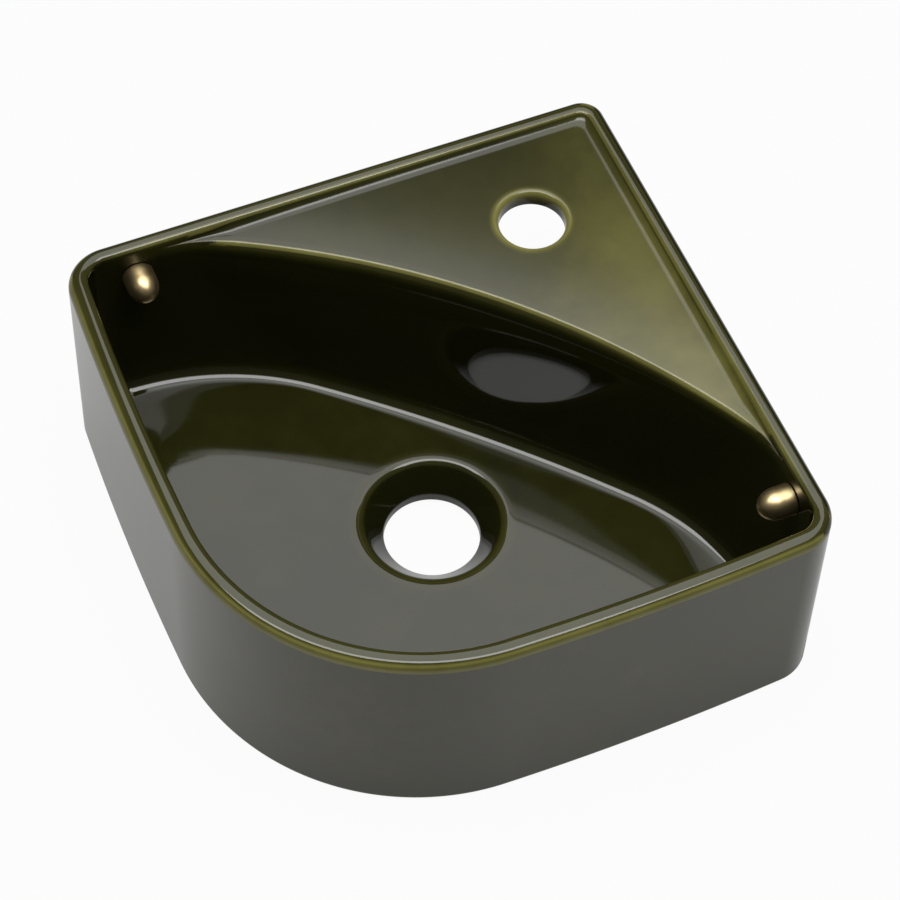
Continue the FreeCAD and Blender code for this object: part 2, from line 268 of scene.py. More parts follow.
def start_piece(name, sides):
    """A round primitive, alone selected and open in edit mode."""
    bpy.ops.object.select_all(action="DESELECT")
    bpy.ops.mesh.primitive_circle_add(vertices=sides, radius=MM)
    piece = bpy.context.object
    piece.name = name
    bpy.ops.object.mode_set(mode="EDIT")
    bpy.ops.mesh.select_all(action="SELECT")
    return piece


def finish_piece(piece):
    """Close seams, turn the faces outwards and leave edit mode."""
    bpy.ops.mesh.select_all(action="SELECT")
    bpy.ops.mesh.remove_doubles(threshold=0.002 * MM)
    bpy.ops.mesh.normals_make_consistent(inside=False)
    bpy.ops.object.mode_set(mode="OBJECT")
    return piece


def raise_rings(name, rings):
    """A skin through rings of points, each ring extruded from the one before it."""
    piece = start_piece(name, len(rings[0]))
    mesh = bmesh.from_edit_mesh(piece.data)
    column = mesh.verts.layers.int.new("column")
    for vert in mesh.verts:
        vert[column] = vert.index
    for i, points in enumerate(rings):
        if i:
            bpy.ops.mesh.extrude_edges_move()
        mesh = bmesh.from_edit_mesh(piece.data)
        column = mesh.verts.layers.int["column"]
        for vert in mesh.verts:
            if vert.select:
                vert.co = points[vert[column]] * MM
    bmesh.update_edit_mesh(piece.data)
    return piece


# The ceramic body
def edge_profile():
    """Front edge of the deck as (distance back, height below the deck) from the wall's top."""
    points = [(0.0, 0.0)]
    for radius, first, last in EDGE_TURNS:
        turn = radius * math.radians(first - last) / EDGE_STEPS
        for i in range(EDGE_STEPS):
            tilt = math.radians(first + (last - first) * (i + 0.5) / EDGE_STEPS)
            out, up = points[-1]
            points.append((out + turn * math.cos(tilt), up + turn * math.sin(tilt)))
    total = points[-1][1]
    return [(out, total - up) for out, up in points]


EDGE = edge_profile()
EDGE_WIDTH = EDGE[-1][0]


def deck_level(point):
    """Height of the deck, which falls towards the bowl and rolls off near its front edge."""
    back = max(0.0, (point - TOP_CENTRE).length - TOP_RADIUS - EDGE_WIDTH)
    return DECK_FRONT + DECK_RISE * back + ROLL_DEPTH * (1 - math.exp(-back / ROLL_LENGTH))


def turned_line(turns):
    """Line through (radius, first tilt, last tilt) turns, as (distance, fall) from its start."""
    points = [(0.0, 0.0)]
    for radius, first, last in turns:
        over, fall = points[-1]
        turn = radius if last > first else -radius
        for i in range(1, TURN_STEPS + 1):
            tilt = first + (last - first) * i / TURN_STEPS
            points.append((over + turn * (math.sin(tilt) - math.sin(first)),
                           fall - turn * (math.cos(tilt) - math.cos(first))))
    return points


def lip_profile(width, drop):
    """Fall from the rim to the deck over a width: a slow crest, a round shoulder, then a hollow foot."""
    easy = math.radians(LIP_CREST_TILT)
    low, high = math.radians(20), math.pi / 2
    for _ in range(30):
        slope = (low + high) / 2
        shoulder = turned_line([(LIP_CREST_ROUND, 0, easy), (LIP_SHOULDER_ROUND, easy, slope)])
        foot = (drop - shoulder[-1][1]) / (1 - math.cos(slope))
        if shoulder[-1][0] + foot * math.sin(slope) > width:
            low = slope
        else:
            high = slope
    foot = min(foot, (width - shoulder[-1][0]) / math.sin(slope))
    hollow = turned_line([(foot, slope, 0)])
    over, fall = width - hollow[-1][0], drop - hollow[-1][1]
    return shoulder + [(over + x, fall + z) for x, z in hollow]


def strip_shares(points, others):
    """How much of the full lip and edge fits at each point of a strip, by the strip's width."""
    full = EDGE_WIDTH + LIP_WIDTH - BAY_WIDTH
    return [min(1.0, 0.98 * min((p - q).length for q in others) / full) for p in points]


def drain_profile():
    """Drain from under its boss up to the bowl floor."""
    flare = (MOUTH_RADIUS - THROAT_RADIUS) / (FLOOR_HEIGHT - 8)
    return rounded([
        (33, 2, 0), (THROAT_RADIUS, 2, 1.5), (THROAT_RADIUS, 4.6, 0), (THROAT_RADIUS, 8, 2.0),
        (THROAT_RADIUS + 2.2 * flare, 10.2, 0), (MOUTH_RADIUS - 4.8 * flare, FLOOR_HEIGHT - 4.8, 0),
        (MOUTH_RADIUS, FLOOR_HEIGHT, 7.0), (MOUTH_RADIUS + 5.6, FLOOR_HEIGHT + 5.6 * FLOOR_SLOPE, 0),
        (MOUTH_RADIUS + MOUTH_MARGIN, FLOOR_HEIGHT + MOUTH_MARGIN * FLOOR_SLOPE, 0)])


def floor_level(point):
    return FLOOR_HEIGHT + ((point - DRAIN).length - MOUTH_RADIUS) * FLOOR_SLOPE


def drain_ring(rays, radius, height):
    return ring([DRAIN + ray * radius for ray in rays], height)


def floor_rings(rays, floor_edge):
    """Drain and bowl floor, as far as the fillet."""
    rings = [drain_ring(rays, p.x, p.y) for p in drain_profile()]
    mouth = [DRAIN + ray * (MOUTH_RADIUS + MOUTH_MARGIN) for ray in rays]
    for i in range(1, FLOOR_STEPS + 1):
        flank = [a.lerp(b, i / FLOOR_STEPS) for a, b in zip(mouth, floor_edge)]
        rings.append(ring(flank, [floor_level(p) for p in flank]))
    return rings


def bowl_wall_rings(floor_edge):
    """Floor fillet and bowl wall."""
    rings = []
    for i in range(1, FILLET_STEPS + 1):
        turn = math.radians(FILLET_SWEEP * i / FILLET_STEPS)
        flank = bowl_flank(WALL_FOOT, FLOOR_FILLET * (1 - math.sin(turn)))
        rise = FLOOR_FILLET * (1 - math.cos(turn))
        rings.append(ring(flank, [floor_level(p) + rise for p in floor_edge]))
    for level, _ in CURVED_WALL[1:-1]:
        rings.append(ring(bowl_flank(level), level))
    return rings


def deck_rings(bowl, lip, deck_back):
    """Front edge of the deck and the deck itself. Beyond its tips all rings lie on the foot of the lip."""
    wider = bowl_flank(WALL_TOP, -0.5)
    shares = strip_shares(bowl[:BACK_STEPS], lip[:BACK_STEPS + 1])
    outward = [(wider[step] - bowl[step]).normalized() for step in range(BACK_STEPS)]
    rest = lip[BACK_STEPS:]
    rest_levels = [DECK_FRONT] * len(rest)
    rings = []
    for out, below in EDGE:
        front = [p + away * out * share for p, away, share in zip(bowl, outward, shares)]
        rings.append(ring(front + rest, [DECK_FRONT - below * share for share in shares] + rest_levels))
    for share in DECK_SHARES:
        deck = [a.lerp(b, share) for a, b in zip(front, deck_back)]
        rings.append(ring(deck + rest, [deck_level(p) for p in deck] + rest_levels))
    return rings


def rim_line(room_inset, wall_inset, room_level, wall_level):
    """Half of a line round the rim: its plan, and its heights, which change over in the end corner."""
    flank = rim_flank(room_inset, wall_inset)
    levels = [wall_level] * (BACK_STEPS + BAY_STEPS)
    for i in range(len(flank) - len(levels)):
        levels.append(wall_level + (room_level - wall_level) * min(1.0, i / END_STEPS))
    return flank, levels


def lip_rings(lips):
    """Lip from the deck, and rim from the bowl's other walls, up to the crest."""
    bay = lip_profile(BAY_WIDTH, HEIGHT - DECK_FRONT)
    half_way = math.radians(45)
    room = turned_line([(RIM_INNER_ROUND, 0, half_way), (RIM_INNER_ROUND, half_way, math.pi / 2)])
    upright = HEIGHT - DECK_FRONT - RIM_INNER_ROUND
    steps = len(bay) - len(room)
    room += [(RIM_INNER_ROUND, RIM_INNER_ROUND + upright * i / steps) for i in range(1, steps + 1)]
    rings = []
    for i in reversed(range(len(bay))):
        flank, levels = rim_line(ROOM_CREST + room[i][0], WALL_CREST + bay[i][0],
                                 HEIGHT - room[i][1], HEIGHT - bay[i][1])
        flank[:BACK_STEPS] = [wall_point(step, WALL_CREST + lips[step][i][0]) for step in range(BACK_STEPS)]
        levels[:BACK_STEPS] = [HEIGHT - fall[i][1] for fall in lips]
        rings.append(ring(flank, levels))
    return rings


def rim_level(inset, crest):
    """Height of the rim's crown, which falls slowly outwards from its crest."""
    return HEIGHT - (crest - inset) ** 2 / (2 * RIM_CROWN)


def crown_rings():
    """Crown of the rim and its outer round."""
    rings = []
    for share in CROWN_SHARES:
        room_inset = RIM_OUTER_ROUND + (ROOM_CREST - RIM_OUTER_ROUND) * share
        wall_inset = RIM_OUTER_ROUND + (WALL_CREST - RIM_OUTER_ROUND) * share
        rings.append(ring(*rim_line(room_inset, wall_inset, rim_level(room_inset, ROOM_CREST),
                                    rim_level(wall_inset, WALL_CREST))))
    for i in range(ROUND_RINGS + 1):
        turn = math.radians(90 * i / ROUND_RINGS)
        inset = RIM_OUTER_ROUND * (1 - math.sin(turn))
        drop = RIM_OUTER_ROUND * (1 - math.cos(turn))
        rings.append(ring(*rim_line(inset, inset, rim_level(inset, ROOM_CREST) - drop,
                                    rim_level(inset, WALL_CREST) - drop)))
    return rings


def outside_rings():
    """Outside of the body, its foot and the recess under the floor, in to the drain's boss."""
    rings = [ring(rim_flank(0, 0), level) for level in OUTSIDE_LEVELS]
    for i in range(TURN_STEPS + 1):
        turn = math.radians(90 * i / TURN_STEPS)
        inset = FOOT_ROUND * (1 - math.cos(turn))
        rings.append(ring(rim_flank(inset, inset), FOOT_ROUND * (1 - math.sin(turn))))
    rings.append(ring(rim_flank(2.4, 2.4), 0))
    rings.append(ring(rim_flank(9.8, 7.8), 0))
    for inset, level in RECESS:
        rings.append(ring(rim_flank(inset, inset - 2), level))
    return rings


def boss_rings(rays):
    """Roof of the recess and the drain's boss."""
    roof = rim_flank(16.4, 14.4)
    boss = [DRAIN + ray * 38 for ray in rays]
    rings = []
    for i in range(1, TURN_STEPS + 1):
        rings.append(ring([a.lerp(b, i / TURN_STEPS) for a, b in zip(roof, boss)], RECESS_ROOF))
    return rings + [drain_ring(rays, radius, level) for radius, level in BOSS]


def make_body():
    floor_edge = bowl_flank(WALL_FOOT, FLOOR_FILLET)
    rays = [(p - DRAIN).normalized() for p in floor_edge]
    bowl = bowl_flank(WALL_TOP)
    lip = rim_flank(ROOM_INSET, WALL_INSET)
    shares = strip_shares(lip[:BACK_STEPS], bowl[:BACK_STEPS + 1])
    widths = [BAY_WIDTH + (LIP_WIDTH - BAY_WIDTH) * share for share in shares]
    deck_back = [wall_point(step, WALL_CREST + widths[step]) for step in range(BACK_STEPS)]
    lips = [lip_profile(width, HEIGHT - deck_level(foot)) for width, foot in zip(widths, deck_back)]
    rings = floor_rings(rays, floor_edge) + bowl_wall_rings(floor_edge) + deck_rings(bowl, lip, deck_back)
    rings += lip_rings(lips) + crown_rings() + outside_rings() + boss_rings(rays)
    body = raise_rings("ceramic_body", rings)
    cut_tap_hole(body)
    return finish_piece(body)


def near_tap(point, reach):
    return (Vector((point.x, point.y)) / MM - TAP).length < reach and point.z > 112 * MM


def selected_loop(mesh):
    """Points of the one selected loop of edges, in their order."""
    chosen = [vert for vert in mesh.verts if vert.select]
    loop, last = chosen[:1], None
    for _ in range(len(chosen) - 1):
        last = next(edge for edge in loop[-1].link_edges if edge.select and edge != last)
        loop.append(last.other_vert(loop[-1]))
    return loop


def even_angles(spokes):
    """Angles of the spokes in their order, evened out among neighbours."""
    angles = [math.atan2(spokes[0].y, spokes[0].x)]
    for before, after in zip(spokes, spokes[1:]):
        angles.append(angles[-1] + math.atan2(before.cross(after), before.dot(after)))
    whole = math.copysign(2 * math.pi, angles[-1] - angles[0])
    for _ in range(6):
        around = [angles[-1] - whole] + angles + [angles[0] + whole]
        angles = [(a + 2 * b + c) / 4 for a, b, c in zip(around, around[1:], around[2:])]
    return angles


def cut_tap_hole(body):
    """Open the deck round the tap's place and draw the opening's edge in to a flared hole."""
    bpy.ops.mesh.select_all(action="SELECT")
    bpy.ops.mesh.remove_doubles(threshold=0.002 * MM)
    bpy.ops.mesh.select_mode(type="FACE")
    bpy.ops.mesh.select_all(action="DESELECT")
    mesh = bmesh.from_edit_mesh(body.data)
    for face in mesh.faces:
        if near_tap(face.calc_center_median(), TAP_CLEARING):
            face.select = True
    bmesh.update_edit_mesh(body.data)
    bpy.ops.mesh.delete(type="FACE")
    bpy.ops.mesh.select_mode(type="EDGE")
    bpy.ops.mesh.select_all(action="DESELECT")
    mesh = bmesh.from_edit_mesh(body.data)
    for edge in mesh.edges:
        if edge.is_boundary and near_tap(edge.verts[0].co, TAP_CLEARING + 12):
            edge.select_set(True)
    bmesh.update_edit_mesh(body.data)
    flare = rounded([(24, 0, 0), (TAP_RADIUS, 0, 3.0), (TAP_RADIUS, -10, 1.5), (20, -10, 0)])
    profile = [(25.0, 0), (23.0, 0), (21.4, 0)] + [(p.x, p.y) for p in flare[1:-1]] + [(19.1, -15)]
    for radius, below in profile:
        bpy.ops.mesh.extrude_edges_move()
        mesh = bmesh.from_edit_mesh(body.data)
        loop = selected_loop(mesh)
        angles = even_angles([vert.co.xy / MM - TAP for vert in loop])
        for vert, angle in zip(loop, angles):
            spoke = on_circle(Vector((0, 0)), 1, angle)
            level = deck_level(TAP + spoke * max(radius, 20.0))
            vert.co = (*(TAP + spoke * radius) * MM, (level + below) * MM)
        bmesh.update_edit_mesh(body.data)
    bpy.ops.mesh.edge_face_add()


def hollow_ring(inset, height):
    """Ring of the hollow under the deck, set in from its walls."""
    wall = HALF - WALL_INSET + HOLLOW_OVERLAP
    radius = HOLLOW_ROUND - inset
    reach = HOLLOW_RADIUS + HOLLOW_ROUND
    x = wall - HOLLOW_ROUND
    tip = Vector((x, HOLLOW_CENTRE.y + math.sqrt(reach ** 2 - (x - HOLLOW_CENTRE.x) ** 2)))
    corner = Vector((x, x))
    middle = on_circle(HOLLOW_CENTRE, HOLLOW_RADIUS + inset, math.radians(45))
    flank = arc(corner, radius, corner + Vector((1, 1)), corner + Vector((1, 0)), 8)
    flank += line(Vector((wall - inset, corner.y)), Vector((wall - inset, tip.y)), 10)
    flank += arc(tip, radius, tip + Vector((1, 0)), tip + Vector((0, -1)), 8)
    flank += arc(tip, radius, tip + Vector((0, -1)), HOLLOW_CENTRE, 8)
    flank += arc(HOLLOW_CENTRE, HOLLOW_RADIUS + inset, tip, middle, 24)
    return ring(flank + [middle], height)


def make_hollow():
    spring = HOLLOW_ROOF - HOLLOW_ROOF_ROUND
    rings = [hollow_ring(0, -6), hollow_ring(0, spring)]
    for i in range(1, TURN_STEPS + 1):
        turn = math.radians(90 * i / TURN_STEPS)
        inset = HOLLOW_ROOF_ROUND * (1 - math.cos(turn))
        rings.append(hollow_ring(inset, spring + HOLLOW_ROOF_ROUND * math.sin(turn)))
    hollow = raise_rings("hollow_cutter", rings)
    bpy.ops.mesh.edge_face_add()
    bpy.ops.mesh.select_all(action="DESELECT")
    mesh = bmesh.from_edit_mesh(hollow.data)
    for edge in mesh.edges:
        if edge.is_boundary:
            edge.select_set(True)
    bmesh.update_edit_mesh(hollow.data)
    bpy.ops.mesh.edge_face_add()
    return finish_piece(hollow)


def cut_away(piece, cutter):
    bpy.context.view_layer.objects.active = piece
    cut = piece.modifiers.new("cut", "BOOLEAN")
    cut.operation = "DIFFERENCE"
    cut.solver = "EXACT"
    cut.object = cutter
    bpy.ops.object.modifier_apply(modifier=cut.name)
    bpy.data.objects.remove(cutter)


def make_back_opening(across, along):
    """Cutter for the open back behind the hollow: a box with one rounded upper end."""
    beyond = HALF + CUTTER_OVERSHOOT
    low, high = Vector((0, 0, -CUTTER_OVERSHOOT)), Vector((0, 0, FLANGE_UNDERSIDE))
    low[across], high[across] = OPENING_FACE, beyond
    low[along], high[along] = OPENING_START, beyond
    bpy.ops.object.select_all(action="DESELECT")
    bpy.ops.mesh.primitive_cube_add(size=1, location=(low + high) / 2 * MM, scale=(high - low) * MM)
    cutter = bpy.context.object
    bpy.ops.object.transform_apply(location=True, rotation=True, scale=True)
    bpy.ops.object.mode_set(mode="EDIT")
    bpy.ops.mesh.select_mode(type="EDGE")
    bpy.ops.mesh.select_all(action="DESELECT")
    mesh = bmesh.from_edit_mesh(cutter.data)
    for edge in mesh.edges:
        middle = (edge.verts[0].co + edge.verts[1].co) / 2 / MM
        if abs(middle[along] - OPENING_START) < 1 and abs(middle.z - FLANGE_UNDERSIDE) < 1:
            edge.select_set(True)
    bmesh.update_edit_mesh(cutter.data)
    bpy.ops.mesh.bevel(offset=OPENING_ROUND * MM, segments=10, affect="EDGES")
    bpy.ops.object.mode_set(mode="OBJECT")
    return cutter


def make_fixing_hole(side):
    seat, inward = SEATS[side]
    facing = inward.to_track_quat("Z", "Y").to_euler()
    bpy.ops.object.select_all(action="DESELECT")
    bpy.ops.mesh.primitive_cylinder_add(vertices=64, radius=FIXING_HOLE * MM, depth=2 * CUTTER_OVERSHOOT * MM,
                                        location=seat * MM, rotation=facing)
    return bpy.context.object


def smooth(piece):
    bpy.ops.object.select_all(action="DESELECT")
    piece.select_set(True)
    bpy.context.view_layer.objects.active = piece
    bpy.ops.object.shade_smooth_by_angle(angle=math.radians(40))


# Where the glaze lies thinly, where shade is painted into it, and where the clay was left bare
def ramp(value, low, high):
    """Share from 0 to 1 as a value goes from low to high, eased at both ends."""
    share = min(1.0, max(0.0, (value - low) / (high - low)))
    return share * share * (3 - 2 * share)


def convexity(mesh):
    """How sharply the skin bends outwards at each point, in 1/mm, evened out a little."""
    shortest, neighbour = 0.2, 2.5
    bend = [0.0] * len(mesh.vertices)
    for edge in mesh.edges:
        first, second = (mesh.vertices[i] for i in edge.vertices)
        step = (first.co - second.co) / MM
        if step.length > shortest:
            for vertex, away in ((first, step), (second, -step)):
                sharpness = 2 * vertex.normal.dot(away) / step.length_squared
                bend[vertex.index] = max(bend[vertex.index], sharpness)
    total = bend[:]
    count = [1] * len(bend)
    for edge in mesh.edges:
        a, b = edge.vertices
        if (mesh.vertices[a].co - mesh.vertices[b].co).length < neighbour * MM:
            total[a] += bend[b]
            total[b] += bend[a]
            count[a] += 1
            count[b] += 1
    return [t / c for t, c in zip(total, count)]


def near_outside(plan, depth):
    """Whether a point of the plan lies within a depth of the body's outside."""
    if max(plan.x, plan.y) > HALF - depth:
        return True
    if max((plan - SIDE_CENTRE).length, (plan.yx - SIDE_CENTRE).length) > SIDE_RADIUS - depth:
        return True
    return max(plan.x, plan.y) < 0 and (plan - FRONT_CENTRE).length > FRONT_RADIUS - depth


def on_deck(point):
    behind_wall = (point.xy - TOP_CENTRE).length > TOP_RADIUS - 0.5
    return behind_wall and WALL_TOP - 0.5 < point.z < HEIGHT - 2


def glaze_thinness_and_shade(point, normal, bend):
    """How thinly the glaze lies at a point: 0 where it pools dark, 1 where it runs off an edge. The dark of
    the bowl wall and of the floor's fillet is painted shade, and the drain and the inside of the tap hole are
    set darker.
    """
    plan = point.xy
    from_drain = (plan - DRAIN).length
    edge = ramp(bend, 1 / 11, 1 / 4)
    # backs and outside
    if max(plan.x, plan.y) > HALF - 3.4:
        return 0.22
    if near_outside(plan, RIM_OUTER_ROUND):
        return 0.48 + 0.5 * min(1.0, 1.6 * edge) * ramp(-normal.z, -0.92, -0.7)
    # tap hole, set darker inside below its top round, then rim and deck
    if (plan - TAP).length < 22 and point.z > HOLLOW_ROOF - 2:
        return 0.62 + 0.3 * edge if point.z > 118 else 0.3
    if point.z > HEIGHT - 2:
        return 0.44 + 0.3 * edge * ramp(plan.x + plan.y, 0, 60)
    if on_deck(point):
        from_lip = HALF - WALL_INSET - max(plan.x, plan.y)
        base = 0.42 + 0.34 * ramp(plan.x - 0.5 * plan.y, 10, 130) - 0.1 * math.exp(-from_lip / 10)
        return base + (0.86 - base) * edge
    # drain, set darker down its throat, then bowl floor and bowl wall, where shade is painted
    if from_drain < MOUTH_RADIUS + 6 and point.z < FLOOR_HEIGHT + 1:
        return 0.15 + 0.2 * ramp(from_drain, 31, MOUTH_RADIUS + 4) + 0.42 * edge * ramp(point.z, 16, 20)
    # painted shade: the floor's fillet darkens towards the foot of the bowl wall
    if point.z < FLOOR_HEIGHT + 9:
        return 0.15 + 0.15 * ramp(FLOOR_HEIGHT + 9 - point.z, 0, 8)
    # painted shade: the bowl wall is kept dark, lighter only just under the deck's front edge where the glaze
    # runs thinly
    return 0.21 + 0.26 * ramp(point.z, 112, 119) * ramp(plan.x + plan.y, 0, 60)


def bare_clay(point, normal):
    """How surely a point was left unglazed: the foot, the hollows and the backs against the walls."""
    plan = point.xy
    if point.z < 0.3:
        return 1.0 if normal.z < -0.9 else 0.5
    if max(plan.x, plan.y) > HALF - 0.05 and max(normal.x, normal.y) > 0.9:
        return ramp(min(plan.x, plan.y), -127, -117) * ramp(119 - point.z, 0, 13)
    if point.z < 12 and (plan - DRAIN).length > 32.5 and normal.z < 0.5:
        return 0.0 if near_outside(plan, 5) else 1.0
    if (plan - HOLLOW_CENTRE).length - HOLLOW_RADIUS > -2 and point.z < HOLLOW_ROOF + 0.5:
        return ramp(HOLLOW_ROOF + 0.4 - point.z, 0, 0.8)
    return 0.0


def store(mesh, name, values):
    layer = mesh.attributes.new(name, "FLOAT", "POINT")
    layer.data.foreach_set("value", values)


body = make_body()
cut_away(body, make_hollow())
cut_away(body, make_back_opening(0, 1))
cut_away(body, make_back_opening(1, 0))
for side in SEATS:
    cut_away(body, make_fixing_hole(side))
smooth(body)
body.data.attributes.remove(body.data.attributes["column"])
points = [(v.co / MM, v.normal) for v in body.data.vertices]
# thinly glazed edges, and painted shade on the bowl wall and in the floor's fillet
store(body.data, "thin", [glaze_thinness_and_shade(p, n, bend) for (p, n), bend in zip(points, convexity(body.data))])
store(body.data, "bare", [bare_clay(p, n) for p, n in points])
store(body.data, "deck", [1.0 if on_deck(p) else 0.0 for p, n in points])


# The wall fixings
ROUND_STEPS = 72
CAP_PITCH = 1.5
BOLT_PITCH = 1.0
CAP_RADIUS, CAP_BORE = 8.3, 6.1
NOSE_START, NOSE_LENGTH, NOSE_STEPS = 8.0, 10.6, 24
SEAL_RADIUS = 7.8
BUSH_RADIUS, BUSH_BORE = 5.4, 4.6
NUT_RADIUS, BOLT_BORE = 6, 2.5
NUT_FACE, SLOT_WIDTH = 10.2, 1.6


def turned(name, side, profile):
    """A piece turned on a fixing's axis from (radius, distance off the glaze, thread depth) points."""
    seat, inward = SEATS[side]
    across = inward.cross(UP)
    rings = []
    for radius, off, depth in profile:
        points = []
        for i in range(ROUND_STEPS):
            angle = 2 * math.pi * i / ROUND_STEPS
            groove = abs(2 * ((off / CAP_PITCH - i / ROUND_STEPS) % 1) - 1)
            spoke = UP * math.cos(angle) + across * math.sin(angle)
            points.append(seat + inward * off + spoke * (radius - depth * groove))
        rings.append(points)
    piece = finish_piece(raise_rings(name, rings))
    piece.data.attributes.remove(piece.data.attributes["column"])
    store(piece.data, "along", [(v.co / MM - seat).dot(inward) for v in piece.data.vertices])
    return piece


def plain(corners):
    return [(p.x, p.y, 0.0) for p in rounded(corners, 6)]


def threaded(radius, start, end, depth, pitch, turns=10):
    """Side of a thread between two distances, running out to nothing at both ends."""
    steps = max(2, round(abs(end - start) / pitch * turns))
    side = []
    for i in range(steps + 1):
        off = start + (end - start) * i / steps
        run_out = min(1.0, abs(off - start) / (0.6 * pitch), abs(off - end) / (0.6 * pitch))
        side.append((radius, off, depth * run_out))
    return side


def make_cap(side):
    nose = []
    for i in range(NOSE_STEPS + 1):
        turn = math.radians(90 * i / NOSE_STEPS)
        nose.append((CAP_RADIUS * math.cos(turn), NOSE_START + NOSE_LENGTH * math.sin(turn), 0.0))
    bore = plain([(0, 10.8, 0), (5.2, 10.8, 0.4), (CAP_BORE, 9.9, 0.4), (CAP_BORE, 9.4, 0)])
    bore += threaded(CAP_BORE, 9.3, 2.6, -0.35, CAP_PITCH)
    rim = plain([(CAP_BORE, 2.4, 0), (CAP_BORE, 1.8, 0), (6.5, 1.25, 0.2), (7.86, 1.25, 0), (7.86, 0.4, 0.1),
                 (CAP_RADIUS, 0.4, 0.2), (CAP_RADIUS, 3.2, 0)])
    return turned(side + "_bullet_cap", side, bore + rim + nose)


def make_seal(side):
    return turned(side + "_rubber_ring", side, plain([
        (CAP_BORE, 0.6, 0), (CAP_BORE, 0, 0.35), (SEAL_RADIUS, 0, 0.3), (SEAL_RADIUS, 1.2, 0.45),
        (CAP_BORE, 1.2, 0.35), (CAP_BORE, 0.6, 0)]))


def make_bush(side):
    return turned(side + "_nylon_bush", side, plain([
        (BUSH_BORE, -4, 0), (BUSH_BORE, -9.2, 0.25), (BUSH_RADIUS, -9.2, 0.25), (BUSH_RADIUS, 0, 0),
        (6, 0, 0.2), (6, 1.2, 0.35), (BUSH_BORE, 1.2, 0.2), (BUSH_BORE, -4, 0)]))


def make_nut(side):
    tail = plain([(BOLT_BORE, -7.4, 0), (3.1, -8.2, 0), (4.5, -8.2, 0.3), (4.5, 1.2, 0),
                  (NUT_RADIUS, 1.2, 0.2), (NUT_RADIUS, 1.8, 0)])
    head = threaded(NUT_RADIUS, 2.0, 9.4, 0.45, CAP_PITCH)
    face = plain([(NUT_RADIUS, 9.6, 0), (5.5, NUT_FACE, 0.3), (3.1, NUT_FACE, 0), (BOLT_BORE, 9.5, 0)])
    bore = threaded(BOLT_BORE, 9.3, -7.2, -0.3, BOLT_PITCH, 8)
    nut = turned(side + "_slotted_nut", side, tail + head + face + bore + tail[:1])
    seat, inward = SEATS[side]
    bpy.ops.object.select_all(action="DESELECT")
    size = Vector((14, 14, SLOT_WIDTH)) + Vector([-10 * abs(v) for v in inward])
    bpy.ops.mesh.primitive_cube_add(size=1, location=(seat + inward * NUT_FACE) * MM, scale=size * MM)
    cut_away(nut, bpy.context.object)
    return nut


# Materials
class Value:
    """A shader socket that can stand in a sum."""

    def __init__(self, recipe, socket):
        self.recipe = recipe
        self.socket = socket

    def sum(self, operation, first, second):
        return self.recipe.node("ShaderNodeMath", {"operation": operation}, {0: first, 1: second})

    def __add__(self, other):
        return self.sum("ADD", self, other)

    def __radd__(self, other):
        return self.sum("ADD", other, self)

    def __sub__(self, other):
        return self.sum("SUBTRACT", self, other)

    def __rsub__(self, other):
        return self.sum("SUBTRACT", other, self)

    def __mul__(self, other):
        return self.sum("MULTIPLY", self, other)

    def __rmul__(self, other):
        return self.sum("MULTIPLY", other, self)

    def out(self, name):
        """Another output of the same node."""
        return Value(self.recipe, self.socket.node.outputs[name])


class Recipe:
    """The nodes of one material, or of the world."""

    def __init__(self, owner):
        owner.use_nodes = True
        self.owner = owner
        self.tree = owner.node_tree
        self.tree.nodes.clear()

    def node(self, kind, settings=None, sockets=None):
        node = self.tree.nodes.new(kind)
        for name, setting in (settings or {}).items():
            if name == "stops":
                while len(node.color_ramp.elements) < len(setting):
                    node.color_ramp.elements.new(1)
                for element, (place, colour) in zip(node.color_ramp.elements, setting):
                    element.position = place
                    element.color = (*colour, 1)
            else:
                setattr(node, name, setting)
        for name, value in (sockets or {}).items():
            if isinstance(value, Value):
                self.tree.links.new(value.socket, node.inputs[name])
            else:
                node.inputs[name].default_value = value
        return Value(self, node.outputs[0]) if node.outputs else None

    def attribute(self, name):
        return self.node("ShaderNodeAttribute", {"attribute_name": name}).out("Fac")

    def noise(self, place, scale, detail, roughness):
        sockets = {"Vector": place, "Scale": float(scale), "Detail": float(detail), "Roughness": roughness}
        return self.node("ShaderNodeTexNoise", {}, sockets)

    def ramp(self, value, stops):
        return self.node("ShaderNodeValToRGB", {"stops": stops}, {"Fac": value})

    def bump(self, height, strength, distance):
        return self.node("ShaderNodeBump", {}, {"Height": height, "Strength": strength, "Distance": distance})


def finish_material(recipe, colour, roughness, normal, **sockets):
    values = {"Base Color": colour, "Roughness": roughness, "Normal": normal, **sockets}
    shader = recipe.node("ShaderNodeBsdfPrincipled", {}, values)
    recipe.node("ShaderNodeOutputMaterial", {}, {"Surface": shader})
    return recipe.owner


